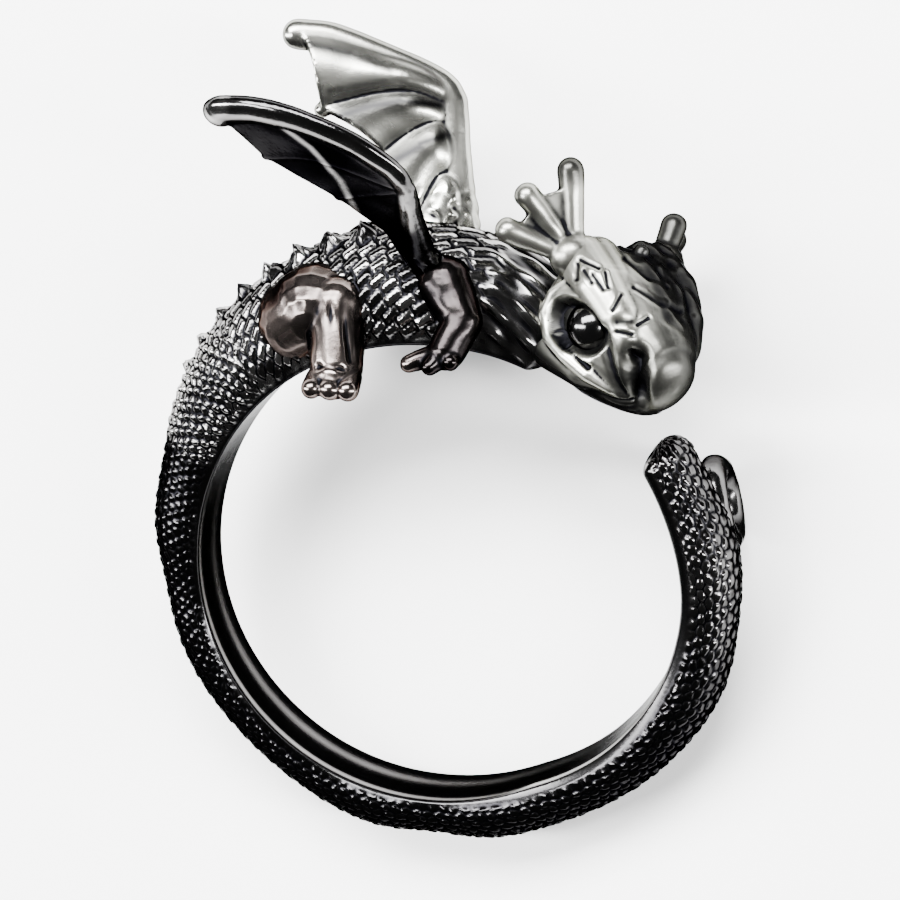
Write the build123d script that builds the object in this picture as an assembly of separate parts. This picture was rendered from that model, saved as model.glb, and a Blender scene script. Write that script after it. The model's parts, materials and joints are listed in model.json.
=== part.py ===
"""Dragon ring: one cast open band in the shape of a small dragon curled round the finger.

Everything is modelled in the ring's own frame: the finger's axis is Z through the origin, the
dragon's back is at the top (+Y), its head at the right (+X) and its near flank towards +Z.
Angles run round that axis from +X, so the tail runs clockwise from its end to the hips.
At the end the casting is turned onto its far side, the way the ring lies on a table.
"""
from build123d import *
import os
from itertools import combinations
from math import atan2, cos, degrees, radians, sin

import numpy as np

os.makedirs("parts", exist_ok=True)

# Finger hole and band, in millimetres
bore_radius = 8.8
band_width = 3.2
band_thickness = 1.65
tail_lift = 0.85            # how far the open end springs away from the finger
wall_embed = 0.3            # stock inside the finger hole that the bore cut takes away

# Dragon's trunk
torso_width = 5.0
torso_height = 4.0
neck_width = 4.0
neck_height = 3.3
torso_roll = 13             # degrees that the trunk leans towards its near flank
trunk_centre = bore_radius + 0.6 * torso_height     # height of its middle over the finger's axis

# Head
head_length = 7.2
head_width = 5.5
head_depth = 5.3
skull_angle = 55            # degrees round the ring where the skull is centred
snout_heading = -29         # degrees from +X
head_turn = 44              # degrees that the snout points out to the near side
head_roll = 9
eye_radius = 0.95
eyelid_wire = 0.26
brow_radius = 0.8
nostril_radius = 0.42

# Ears, each a fan of three spikes with webs between
ear_length = 3.1            # longest spike
ear_root_radius = 0.66
ear_tip_radius = 0.33
ear_web = 0.5

# Wings
wing_span = 10.6            # from the near shoulder to the wing's tip
far_wing_share = 0.95       # the far wing's span as a share of the near one's
wing_plate = 0.50
wing_lean = 28              # degrees outwards from the trunk's middle plane
wing_toe_in = 13            # degrees that the wings close towards the tail
arm_radius = 0.62
finger_radius = 0.44

# Legs
thigh_radius = 1.6
shank_radius = 0.95
foreleg_radius = 0.75
toe_radius = 0.40
claw_length = 0.8

# Spines and cast relief
spine_count = 7
spine_height = 0.28
spine_radius = 0.42
knob_swell = 1.04           # joints stand this share prouder than their rods
scale_radius = 0.55
scale_rise = 0.16
pebble_radius = 0.40
pebble_rise = 0.10

# Curled tail tip
curl_radius = 1.3
curl_wire = 0.55
curl_angle = 14             # degrees round the ring where the curl is centred
rest_tolerance = 0.03       # how finely the lying attitude is found

# Sections of the trunk, from the tail's end clockwise to the back of the head.
# Tail: angle, share of band_width, share of band_thickness, share of tail_lift
TAIL_SECTIONS = (
    (28, 0.86, 0.90, 0.45),
    (14, 0.98, 1.02, 0.65),
    (-4, 1.00, 1.06, 0.98),
    (-22, 1.00, 1.07, 1.00),
    (-44, 1.00, 1.05, 0.75),
    (-66, 1.00, 1.02, 0.30),
    (-88, 1.00, 1.00, 0.00),
    (-112, 1.00, 1.00, 0.00),
    (-136, 1.00, 0.92, 0.00),
    (-160, 1.00, 0.96, 0.00),
    (-182, 1.02, 1.14, 0.00),
)
# Torso: angle, share of torso_width, share of torso_height
TORSO_SECTIONS = (
    (-198, 0.70, 0.56),
    (-213, 0.76, 0.70),
    (-229, 0.88, 0.82),
    (-245, 0.97, 0.93),
    (-262, 1.00, 1.00),
    (-276, 0.96, 0.97),
)
# Neck: angle, share of neck_width, share of neck_height
NECK_SECTIONS = (
    (-289, 1.02, 1.05),
    (-298, 0.98, 0.96),
    (-305, 0.84, 0.84),
)
TRUNK_ROWS = (
    [(a, w * band_width, t * band_thickness, s * tail_lift) for a, w, t, s in TAIL_SECTIONS]
    + [(a, w * torso_width, t * torso_height, 0) for a, w, t in TORSO_SECTIONS]
    + [(a, w * neck_width, t * neck_height, 0) for a, w, t in NECK_SECTIONS]
)

# Head, from its back to its nose: share of head_length in front of the skull's centre, share of
# head_depth, share of head_width, and rise of the middle as a share of head_depth
HEAD_SECTIONS = (
    (-0.33, 0.50, 0.50, 0.03),
    (-0.24, 0.80, 0.80, 0.02),
    (-0.08, 1.00, 1.00, 0.00),
    (0.10, 1.00, 0.98, -0.01),
    (0.28, 0.82, 0.76, -0.03),
    (0.42, 0.66, 0.58, -0.04),
    (0.52, 0.52, 0.46, -0.03),
)
HEAD_ENDS = ((-0.375, 0.03), (0.585, -0.03))
# Places on the near half of the head, as shares of head_length, head_depth and head_width
EYE = (0.12, 0.07, 0.34)
BROW = ((-0.17, 0.34, 0.31), (0.38, 0.16, 0.20))
CHEEK = ((0.02, -0.32, 0.28), (0.40, -0.15, 0.14))
NOSTRIL = (0.53, 0.10, 0.20)
EAR_ROOT = (-0.19, 0.34, 0.36)
# Tips of each ear's spikes from its root, as shares of ear_length: along the snout, towards the
# crown and out to the side
NEAR_EAR = ((-0.52, 0.84, 0.10), (-0.52, 0.45, 0.55), (-0.42, 0.03, 0.70))
FAR_EAR = ((-0.29, 0.42, 0.20), (-0.45, 0.15, 0.40), (-0.50, -0.15, 0.55))

# Places on the near legs and the wing's root, from the trunk's middle: forward and up as shares of
# torso_height and out as a share of torso_width
HIP = (-1.19, -0.38, 0.34)
KNEE = (-1.00, -0.22, 0.39)
HOCK = (-0.79, -0.12, 0.48)
HIND_SOLE = (-0.72, -0.57, 0.77)
HIND_PAW = (-0.72, -0.61, 0.82)
FRONT_SHOULDER = (0.19, 0.08, 0.37)
ELBOW = (0.39, -0.16, 0.59)
FRONT_WRIST = (0.28, -0.37, 0.75)
FRONT_TOES = ((-0.05, -0.48, 0.80), (0.16, -0.45, 0.88), (0.35, -0.40, 0.86))
WING_ROOT = (0.26, 0.20, 0.40)

# Wing outline in its own plane: shares of wing_span behind the shoulder and up from it
WRIST = (0.095, 0.475)
WING_TIP = (0.605, 0.715)
SECOND_FINGER = (0.522, 0.453)
THIRD_FINGER = (0.323, 0.287)
WING_HEEL = (0.273, 0.028)

# Half widths of a trunk section and heights over its inner face, as shares of its width and height
FOOT, FLANK, SHOULDER = 0.40, 0.50, 0.37
WAIST, CREST = 0.42, 0.80

# Spines run from the shoulders to the tail between these angles
SPINE_ANGLES = (-259, -229)

# Rows of relief: degrees round the ring, first and last, then the turns round the trunk
SCALE_ANGLES = (-206, -292)
SCALE_STEP = 7.2
SCALE_TURNS = (-74, -50, -26, 26, 50, 74)
PEBBLE_ANGLES = (-6, -197)
PEBBLE_STEP = 8.0
PEBBLE_TURNS = (-62, 0, 62)


def polar(angle, radius, z=0.0):
    """A point at an angle round the finger's axis."""
    return Vector(radius * cos(radians(angle)), radius * sin(radians(angle)), z)


def fuse(pieces):
    """All of the pieces as one solid."""
    first, *others = pieces
    return first.fuse(*others)


def rod(start, end, start_radius, end_radius):
    """A tapered rod with flat ends."""
    start, end = Vector(*start), Vector(*end)
    taper = Cone(start_radius, end_radius, (end - start).length, align=(Align.CENTER, Align.CENTER, Align.MIN))
    return Plane(origin=start, z_dir=end - start) * taper


def knob(centre, radius):
    """A round joint or tip, a little prouder than the rods that meet in it."""
    return Pos(*Vector(*centre)) * Sphere(knob_swell * radius)


def chain(points, radii):
    """Tapered rods from point to point, with a knob at every one."""
    links = [rod(*pair) for pair in zip(points, points[1:], radii, radii[1:])]
    return links + [knob(*joint) for joint in zip(points, radii)]


def fan(root, tips, root_radius, tip_radius):
    """Tapered rods from one root, each with a knob at its tip."""
    spread = []
    for tip in tips:
        spread += [rod(root, tip, root_radius, tip_radius), knob(tip, tip_radius)]
    return spread


def web(root, first, second, thickness):
    """A thin web between two spikes of one root, hollowed at its free edge."""
    root, first, second = Vector(*root), Vector(*first), Vector(*second)
    a, b = first - root, second - root
    outline = Polyline(root, root + a * 0.85, root + (a + b) * 0.36, root + b * 0.85, close=True)
    return extrude(make_face(outline), amount=thickness / 2, dir=a.cross(b).normalized(), both=True)


def trunk_section(angle, width, height, lift):
    """A D-shaped section: flat to the finger, rounded flanks and a rounded back."""
    outward = polar(angle, 1)
    plane = Plane(origin=(0, 0, 0), x_dir=outward, z_dir=(outward.Y, -outward.X, 0))
    inner = bore_radius + lift - wall_embed
    tall = height + wall_embed
    foot, flank, shoulder = FOOT * width, FLANK * width, SHOULDER * width
    waist, crest, top = inner + WAIST * tall, inner + CREST * tall, inner + tall
    outline = [
        Line((inner, -foot), (inner, foot)),
        ThreePointArc((inner, foot), (waist, flank), (crest, shoulder)),
        ThreePointArc((crest, shoulder), (top, 0), (crest, -shoulder)),
        ThreePointArc((crest, -shoulder), (waist, -flank), (inner, -foot)),
    ]
    return plane * make_face(outline)


def trunk():
    """Tail, torso and neck as one smooth loft round the finger, bored for it."""
    body = loft([trunk_section(*row) for row in TRUNK_ROWS])
    return body - Cylinder(bore_radius, 4 * torso_width)


def trunk_sizes(angle):
    """Width, height and lift of the trunk at an angle between its sections."""
    for before, after in zip(TRUNK_ROWS, TRUNK_ROWS[1:]):
        if before[0] >= angle >= after[0]:
            share = (before[0] - angle) / (before[0] - after[0])
            return [p + (q - p) * share for p, q in zip(before[1:], after[1:])]
    raise ValueError(f"the trunk doesn't reach {angle} degrees")


def on_trunk(angle, turn, rise):
    """A point over the trunk's skin; turn runs from 0 on the back to 90 on the near flank."""
    width, height, lift = trunk_sizes(angle)
    tall = height + wall_embed
    middle = bore_radius + lift - wall_embed + WAIST * tall
    out = ((1 - WAIST) * tall + rise) * cos(radians(turn))
    side = (FLANK * width + rise) * sin(radians(turn))
    return polar(angle, middle + out, side)


def relief(angles, step, turns, radius, rise):
    """Staggered rows of low rounded studs over the trunk's skin."""
    first, last = angles
    rows = int((first - last) / step)
    studs = []
    for row in range(rows + 1):
        for place, turn in enumerate(turns):
            shift = 0.5 * step * ((row + place) % 2)
            angle = max(first - row * step - shift, last)
            outward = on_trunk(angle, turn, radius) - on_trunk(angle, turn, 0)
            studs.append(Plane(origin=on_trunk(angle, turn, rise - radius), z_dir=outward) * Sphere(radius))
    return studs


def spines():
    """The row of pointed studs down the middle of the back, smaller towards the tail."""
    first, last = SPINE_ANGLES
    crest = []
    for row in range(spine_count):
        share = row / (spine_count - 1)
        angle = first + (last - first) * share
        size = 1 - 0.45 * share
        base = on_trunk(angle, torso_roll * (1 - share), -spine_radius * size)
        tip = on_trunk(angle - 1.5, torso_roll * (1 - share), spine_height * size)
        crest += chain([base, tip], [spine_radius * size, 0.5 * spine_radius * size])
    return crest


def torso_frame():
    """The trunk's own axes at the shoulders: forward, up and out to its near side, leaning."""
    roll = radians(torso_roll)
    return Plane(origin=(0, trunk_centre, 0), x_dir=(1, 0, 0), z_dir=(0, -sin(roll), cos(roll)))


def on_torso(place):
    """A place in the trunk's own axes from its shares."""
    forward, up, out = place
    return Vector(forward * torso_height, up * torso_height, out * torso_width)


def wing(span):
    """A near wing in the trunk's own axes: arm, fingers and a scalloped skin."""
    toe_in, tilt = radians(wing_toe_in), radians(wing_lean)
    back = Vector(-cos(toe_in), 0, -sin(toe_in))
    outward = Vector(-sin(toe_in), 0, cos(toe_in))
    up = Vector(0, 1, 0) * cos(tilt) + outward * sin(tilt)
    plane = Plane(origin=on_torso(WING_ROOT), x_dir=back, z_dir=back.cross(up))
    arm_foot = (0.9 * arm_radius, -0.12 * span)
    heel_foot = (WING_HEEL[0] * span, arm_foot[1])

    def spot(share):
        return (share[0] * span, share[1] * span)

    def hollow(first, second, pull):
        """The middle of a scallop between two points, drawn towards the wrist."""
        middle = [(a + b) / 2 for a, b in zip(first, second)]
        return spot([m + (w - m) * pull for m, w in zip(middle, WRIST)])

    tip_edge = (WING_TIP[0] - 0.02, WING_TIP[1] - 0.04)
    outline = [
        Line(arm_foot, spot(WRIST)),
        Line(spot(WRIST), spot(WING_TIP)),
        Line(spot(WING_TIP), spot(tip_edge)),
        ThreePointArc(spot(tip_edge), hollow(tip_edge, SECOND_FINGER, 0.16), spot(SECOND_FINGER)),
        ThreePointArc(spot(SECOND_FINGER), hollow(SECOND_FINGER, THIRD_FINGER, 0.30), spot(THIRD_FINGER)),
        ThreePointArc(spot(THIRD_FINGER), hollow(THIRD_FINGER, WING_HEEL, 0.20), spot(WING_HEEL)),
        Line(spot(WING_HEEL), heel_foot),
        Line(heel_foot, arm_foot),
    ]
    skin = extrude(make_face(outline), amount=wing_plate / 2, both=True)
    wrist = (*spot(WRIST), 0)
    arm = chain([(*arm_foot, 0), wrist, (*spot(WING_TIP), 0)],
                [1.2 * arm_radius, arm_radius, 0.84 * arm_radius])
    fingers = fan(wrist, [(*spot(SECOND_FINGER), 0), (*spot(THIRD_FINGER), 0)],
                  finger_radius, 0.8 * finger_radius)
    return plane * fuse([skin, *arm, *fingers])


def hind_leg():
    """The near hind leg in the trunk's own axes, from hip to three claws."""
    hip, knee, hock, sole, paw = [on_torso(place) for place in (HIP, KNEE, HOCK, HIND_SOLE, HIND_PAW)]
    leg = chain([hip, knee], [thigh_radius, 1.04 * thigh_radius])
    leg += chain([hock, sole, paw], [1.1 * shank_radius, shank_radius, 0.95 * shank_radius])
    for side in (-1, 0, 1):
        root = paw + Vector(1.4 * toe_radius * side, -0.1 * toe_radius, 0.2 * toe_radius)
        tip = root + Vector(0.15 * side, -0.15, 1).normalized() * claw_length
        leg += chain([root, tip], [1.1 * toe_radius, toe_radius])
    return fuse(leg)


def front_leg():
    """The near front leg in the trunk's own axes, from shoulder to three toes."""
    wrist = on_torso(FRONT_WRIST)
    leg = chain([on_torso(FRONT_SHOULDER), on_torso(ELBOW), wrist],
                [1.35 * foreleg_radius, foreleg_radius, 0.9 * foreleg_radius])
    leg += fan(wrist, [on_torso(toe) for toe in FRONT_TOES], 1.2 * toe_radius, 0.8 * toe_radius)
    return fuse(leg)


def limbs():
    """Legs and wings of both sides; the far ones mirror the near across the leaning trunk."""
    near = [hind_leg(), front_leg()]
    far = [mirror(limb, about=Plane.XY) for limb in [*near, wing(far_wing_share * wing_span)]]
    return [torso_frame() * limb for limb in [*near, wing(wing_span), *far]]


def head_frame():
    """The head's own frame: x along the snout, y to the crown, z to its near side."""
    heading, turn, roll = radians(snout_heading), radians(head_turn), radians(head_roll)
    snout = Vector(cos(heading) * cos(turn), sin(heading) * cos(turn), sin(turn))
    level = Vector(-sin(heading), cos(heading), 0)
    crown = level * cos(roll) + snout.cross(level) * sin(roll)
    skull_centre = polar(skull_angle, bore_radius + 0.9 * neck_height, 0.18 * neck_width)
    return Plane(origin=skull_centre, x_dir=snout, z_dir=snout.cross(crown))


def on_head(place, side=1):
    """A place on the head from its shares, on the near side or mirrored to the far side."""
    along, up, out = place
    return Vector(along * head_length, up * head_depth, side * out * head_width)


def skull():
    """Skull and snout, lofted through elliptical sections and closed at both ends."""
    sections = []
    for along, depth, width, rise in HEAD_SECTIONS:
        across = Plane(origin=on_head((along, rise, 0)), x_dir=(0, 1, 0), z_dir=(1, 0, 0))
        sections.append(across * Ellipse(0.5 * depth * head_depth, 0.5 * width * head_width))
    back, nose = [Vertex(*on_head((along, rise, 0))) for along, rise in HEAD_ENDS]
    return loft([back, *sections, nose])


def eye(side):
    """An eyeball in its round lid."""
    centre = on_head(EYE, side)
    gaze = Vector(0.30, 0.12, side)
    ball = Pos(centre) * Sphere(eye_radius)
    lid = Plane(origin=centre + gaze.normalized() * 0.50 * eye_radius, z_dir=gaze) * Torus(
        eye_radius, eyelid_wire)
    return [ball, lid]


def ear(side, tips):
    """A fan of three spikes with a web between each two."""
    root = on_head(EAR_ROOT, side)
    ends = [root + Vector(x, y, side * z) * ear_length for x, y, z in tips]
    spikes = fan(root, ends, 0.8 * ear_root_radius, ear_tip_radius)
    webs = [web(root, a, b, ear_web) for a, b in zip(ends, ends[1:])]
    return fuse([knob(root, ear_root_radius), *spikes, *webs])


def head():
    """Skull and snout with brows, cheeks, eyes, nostrils and ears."""
    features = []
    for side in (1, -1):
        features += chain([on_head(spot, side) for spot in BROW], [brow_radius, 0.6 * brow_radius])
        features += chain([on_head(spot, side) for spot in CHEEK], [1.3 * brow_radius, 0.8 * brow_radius])
        features += eye(side)
    carved = fuse([skull(), *features])
    for side in (1, -1):
        carved -= Pos(on_head(NOSTRIL, side)) * Sphere(nostril_radius)
    return head_frame() * fuse([carved, ear(1, NEAR_EAR), ear(-1, FAR_EAR)])


def tail_end():
    """The open end's round nose, and the tail's tip curled into an eye on its outer far side."""
    last = TRUNK_ROWS[0][0]
    width, height, lift = trunk_sizes(last)
    round_radius = 0.55 * height
    middle = bore_radius + lift + 0.48 * height
    reach = 0.5 * width - round_radius
    nose = chain([polar(last - 1, middle, -reach), polar(last - 1, middle, reach)],
                 [round_radius, 0.98 * round_radius])
    width, height, lift = trunk_sizes(curl_angle)
    curl_middle = polar(curl_angle, bore_radius + lift + 0.75 * height, -0.55 * width)
    curl = Plane(origin=curl_middle, z_dir=polar(curl_angle, 1)) * Torus(curl_radius, curl_wire)
    return [*nose, curl]


def settle(casting):
    """Turn the casting so that it lies on its far side, on three points round its weight."""
    points = np.array([tuple(point) for point in casting.tessellate(rest_tolerance, 0.3)[0]])
    downs = [polar(way, sin(radians(tilt)), -cos(radians(tilt)))
             for tilt in range(0, 30, 3) for way in range(0, 360, 15)]
    lowest = {int(np.argmax(points @ np.array(tuple(down)))) for down in downs}
    feet = [Vector(*points[i]) for i in lowest]
    weight = casting.center(CenterOf.MASS)
    for a, b, c in combinations(feet, 3):
        up = (b - a).cross(c - a).normalized()
        if up.Z < 0:
            b, c, up = c, b, -up
        stands = all((foot - a).dot(up) > -rest_tolerance for foot in feet)
        steady = all((q - p).cross(weight - p).dot(up) > 0 for p, q in ((a, b), (b, c), (c, a)))
        if stands and steady:
            hinge = up.cross(Vector(0, 0, 1))
            return Axis((0, 0, 0), hinge), degrees(atan2(hinge.length, up.Z))
    raise ValueError("the casting finds no rest on its far side")


scales = relief(SCALE_ANGLES, SCALE_STEP, SCALE_TURNS, scale_radius, scale_rise)
pebbles = relief(PEBBLE_ANGLES, PEBBLE_STEP, PEBBLE_TURNS, pebble_radius, pebble_rise)
band = fuse([trunk(), *spines(), *scales, *pebbles])
dragon = fuse([band, head(), *tail_end(), *limbs()])

hinge, tilt = settle(dragon)
lying = dragon.rotate(hinge, tilt)
box = lying.bounding_box()
place = Vector(-box.center().X, -box.center().Y, -box.min.Z)
ring = lying.moved(Location(place))
ring.label = "dragon_ring"
export_step(ring, "parts/dragon_ring.step")

print("finger hole through", tuple(place), "along", tuple(Vector(0, 0, 1).rotate(hinge, tilt)))
print("size", tuple(ring.bounding_box().size), "volume", ring.volume, "valid", ring.is_valid)
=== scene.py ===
"""Dragon ring: an open band cast as a small winged dragon, in polished gunmetal.

The castings' shapes are worked out in millimetres in the ring's own frame: the finger's axis is
Z, the dragon's back is at +Y, its head at +X and its near flank towards +Z. Each finished piece
is then carried to where the ring lies, which the finger hole's mount gives.
"""
import json
from math import cos, pi, radians, sin

import bmesh
import bpy
import numpy as np
from mathutils import Matrix, Vector


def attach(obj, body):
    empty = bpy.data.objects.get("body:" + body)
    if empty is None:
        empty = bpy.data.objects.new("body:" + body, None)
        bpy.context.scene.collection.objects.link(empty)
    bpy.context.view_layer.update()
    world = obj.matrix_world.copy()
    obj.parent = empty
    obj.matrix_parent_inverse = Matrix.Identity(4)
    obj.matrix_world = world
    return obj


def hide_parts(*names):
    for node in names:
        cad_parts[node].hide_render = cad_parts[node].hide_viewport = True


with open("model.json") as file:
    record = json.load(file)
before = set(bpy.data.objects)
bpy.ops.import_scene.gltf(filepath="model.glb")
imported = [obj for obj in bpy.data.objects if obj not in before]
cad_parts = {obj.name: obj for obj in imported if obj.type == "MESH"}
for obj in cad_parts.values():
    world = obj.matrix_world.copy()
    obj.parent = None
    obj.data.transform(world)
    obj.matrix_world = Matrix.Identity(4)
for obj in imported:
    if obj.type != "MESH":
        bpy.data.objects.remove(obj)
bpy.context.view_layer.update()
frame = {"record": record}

# Ring frame to where the ring lies. The finger hole's mount points out of its far side, which is
# -Z in the ring's own frame.
hole = next(mount for mount in frame["record"]["mounts"] if mount["name"] == "finger_hole")
far_side = Vector(hole["axis"])
ring_turn = Vector((0, 0, -1)).rotation_difference(far_side).to_matrix().to_4x4()
lying = Matrix.Translation(hole["pos_m"]) @ ring_turn @ Matrix.Scale(0.001, 4)
bore_radius = hole["dims"]["r_mm"]


# Camera at the photograph's angle: seen from the near flank, a little from above and from the
# head's side, 110 mm away, so that 27 pixels are a millimetre at the finger hole's centre.
side_angle, top_angle = radians(13), radians(15)
camera_distance = 110
pixels_per_mm = 27
picture_size = 900
sensor_width = 36
near_clip = 0.005
ring_centre_pixel = (437, 565)
toward = Vector((sin(side_angle) * cos(top_angle), sin(top_angle), cos(side_angle) * cos(top_angle)))
right = Vector((cos(side_angle), 0, -sin(side_angle)))
upward = toward.cross(right)
shift_right = (picture_size / 2 - ring_centre_pixel[0]) / pixels_per_mm
shift_up = (ring_centre_pixel[1] - picture_size / 2) / pixels_per_mm
eye_point = toward * camera_distance + right * shift_right + upward * shift_up
camera_data = bpy.data.cameras.new("camera")
camera_data.sensor_width = sensor_width
camera_data.lens = pixels_per_mm * camera_distance / picture_size * sensor_width
camera_data.clip_start = near_clip
camera = bpy.data.objects.new("camera", camera_data)
bpy.context.collection.objects.link(camera)
attitude = Matrix((right, upward, toward)).transposed().to_4x4()
camera.matrix_world = Matrix.Translation(lying @ eye_point) @ ring_turn @ attitude
bpy.context.scene.camera = camera


# Trunk: the open band that is the tail, the torso and the neck, one smooth swept form with a flat
# polished inside. Cast pebbles cover the tail, overlapping scales the torso, and lengthwise
# ridges the neck; a row of spines runs down the back.
band_width, band_thickness = 3.2, 1.65
tail_lift = 0.85
torso_width, torso_height = 5.0, 4.0
neck_width, neck_height = 4.0, 3.3
wall_embed = 0.3
# A section's half widths in shares of its width, and their places up it in shares of its height
FOOT, FLANK, SHOULDER = 0.40, 0.50, 0.37
WAIST, CREST = 0.42, 0.80
# Angle round the ring, width, height over the finger and lift off it
TRUNK_ROWS = (
    [(a, w * band_width, t * band_thickness, s * tail_lift) for a, w, t, s in (
        (28, 0.86, 0.90, 0.45), (14, 0.98, 1.02, 0.65), (-4, 1.00, 1.06, 0.98), (-22, 1.00, 1.07, 1.00),
        (-44, 1.00, 1.05, 0.75), (-66, 1.00, 1.02, 0.30), (-88, 1.00, 1.00, 0.00), (-112, 1.00, 1.00, 0.00),
        (-136, 1.00, 0.92, 0.00), (-160, 1.00, 0.96, 0.00), (-182, 1.02, 1.14, 0.00))]
    + [(a, w * torso_width, t * torso_height, 0.0) for a, w, t in (
        (-198, 0.70, 0.56), (-213, 0.76, 0.70), (-229, 0.88, 0.82), (-245, 0.97, 0.93),
        (-262, 1.00, 1.00), (-276, 0.96, 0.97))]
    + [(a, w * neck_width, t * neck_height, 0.0) for a, w, t in (
        (-289, 1.02, 1.05), (-298, 0.98, 0.96), (-305, 0.84, 0.84))])


def trunk_sizes(angles):
    """Width, height and lift of the trunk at each angle, averaged over nine degrees round it."""
    rows = np.array(TRUNK_ROWS)[::-1]
    near_by = np.array([-4.5, -1.5, 1.5, 4.5])
    spread = np.clip(angles[:, None] + near_by, rows[0, 0], rows[-1, 0])
    return [np.interp(spread, rows[:, 0], rows[:, k]).mean(axis=1) for k in (1, 2, 3)]


def arc_points(start, middle, end, shares):
    """Points at shares of a circle's arc through three points, each an array of pairs."""
    ax, ay = (start - end).T
    bx, by = (middle - end).T
    cross = 2 * (ax * by - ay * bx)
    a2, b2 = ax * ax + ay * ay, bx * bx + by * by
    centre = np.stack([(by * a2 - ay * b2) / cross, (ax * b2 - bx * a2) / cross], axis=1) + end
    first = np.arctan2(*(start - centre).T[::-1])
    half = np.arctan2(*(middle - centre).T[::-1])
    last = np.arctan2(*(end - centre).T[::-1])
    half = first + (half - first + np.pi) % (2 * np.pi) - np.pi
    last = half + (last - half + np.pi) % (2 * np.pi) - np.pi
    radius = np.hypot(*(start - centre).T)
    turn = first + (last - first) * shares
    return centre + radius[:, None] * np.stack([np.cos(turn), np.sin(turn)], axis=1)


def pairs(reach, across):
    """Points of a section, from their reach off the finger's axis and their place across."""
    return np.stack([reach, across], axis=1)


def trunk_skin(angles, around):
    """Points on the trunk: around runs from 0 at the far foot over the back to 1, then inside."""
    width, height, lift = trunk_sizes(angles)
    inner = bore_radius + lift - wall_embed
    tall = height + wall_embed
    foot, flank, shoulder = FOOT * width, FLANK * width, SHOULDER * width
    waist, crest, top = inner + WAIST * tall, inner + CREST * tall, inner + tall
    points = np.zeros((len(angles), 2))
    flank_share, inside_share = 0.27, 0.86
    back_end = inside_share - flank_share
    stretches = (
        (0, flank_share, pairs(inner, -foot), pairs(waist, -flank), pairs(crest, -shoulder)),
        (flank_share, back_end, pairs(crest, -shoulder), pairs(top, 0 * top), pairs(crest, shoulder)),
        (back_end, inside_share, pairs(crest, shoulder), pairs(waist, flank), pairs(inner, foot)))
    for low, high, start, middle, end in stretches:
        on = (around >= low) & (around <= high)
        shares = (around[on] - low) / (high - low)
        points[on] = arc_points(start[on], middle[on], end[on], shares)
    on = around > inside_share
    share = (around[on] - inside_share) / (1 - inside_share)
    points[on] = pairs(inner[on], foot[on] * (1 - 2 * share))
    points[:, 0] = np.maximum(points[:, 0], bore_radius)
    return points


def coordinates(mesh, kind="co"):
    """A mesh's vertex places, or their normals, as an array."""
    values = np.empty(len(mesh.vertices) * 3)
    mesh.vertices.foreach_get(kind, values)
    return values.reshape(-1, 3)


def mesh_of(name, form):
    """A bmesh's mesh, with its normals outward."""
    bmesh.ops.recalc_face_normals(form, faces=form.faces)
    mesh = bpy.data.meshes.new(name)
    form.to_mesh(mesh)
    form.free()
    return mesh


def cells(x, y):
    """Distances to the nearest two centres of an uneven hexagonal lattice, one unit apart."""
    row_step_size, unevenness = 0.866, 0.16
    row = np.round(y / row_step_size)
    nearest = np.full((2, len(x)), 9.0)
    for row_step in (-1, 0, 1):
        line = row + row_step
        shift = 0.5 * (line % 2)
        column = np.round(x - shift)
        for column_step in (-1, 0, 1):
            post = column + column_step
            scatter = np.sin(127.1 * post + 311.7 * line + 1.0) * 43.7
            jitter_x, jitter_y = unevenness * np.sin(scatter * 7.1), unevenness * np.cos(scatter * 3.3)
            away = np.hypot(x - post - shift - jitter_x, y - row_step_size * line - jitter_y)
            closer = away < nearest[0]
            nearest[1] = np.where(closer, nearest[0], np.minimum(nearest[1], away))
            nearest[0] = np.where(closer, away, nearest[0])
    return nearest


def ease(value, low, high):
    """0 below low, 1 above high, smooth between."""
    share = np.clip((value - low) / (high - low), 0, 1)
    return share * share * (3 - 2 * share)


def ring_angles(points):
    """Angle round the finger of each point, from the open end clockwise to the neck."""
    angles = np.degrees(np.arctan2(points[:, 1], points[:, 0]))
    return np.where(angles > 44, angles - 360, angles)


def wave(points, pitch, seed):
    """Uneven gentle undulation of a hand-cut surface, from -1 to 1."""
    x, y, z = (points / pitch).T
    return np.sin(x + 1.7 * np.sin(y + seed)) * np.sin(y + 1.3 * np.sin(z + 2 * seed)) * np.cos(
        z + 1.1 * np.sin(x + 3 * seed))


pebble_size, pebble_rise = 0.42, 0.075
tile_length, tile_width, tile_rise, tile_slant = 0.74, 0.42, 0.15, (0.80, 0.60)
ridge_pitch, ridge_rise = 0.62, 0.15
facet_rise, facets_round = 0.07, 9
spine_rise, spine_radius, spine_count, spine_pitch, first_spine = 0.62, 0.55, 8, 6.0, -259
torso_roll = 13
tail_root, tiles_begin, neck_begins = 205, 229, 281     # degrees clockwise from the head's side
# Each spine's angle round the ring, its size, and how far it leans off the middle of the back
SPINES = [(first_spine + spine_pitch * place, 1 - 0.07 * place,
           np.radians(torso_roll * (1 - place / spine_count)) * 3.2) for place in range(spine_count)]


def tiles(x, y):
    """Overlapping scales in staggered rows: their height, and a brightness of each one's own."""
    line = np.floor(y / tile_width)
    along = x / tile_length + 0.5 * (line % 2) + 0.15 * np.sin(2.3 * line)
    column = np.floor(along)
    u, v = along - column, y / tile_width - line
    rim = np.minimum(np.minimum(u, 1 - u) * tile_length / tile_width, np.minimum(v, 1 - v))
    own = 0.5 + 0.5 * np.sin(91.7 * column + 47.3 * line)
    return ease(rim, 0.0, 0.24) * (0.5 + 0.5 * u), own


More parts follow.
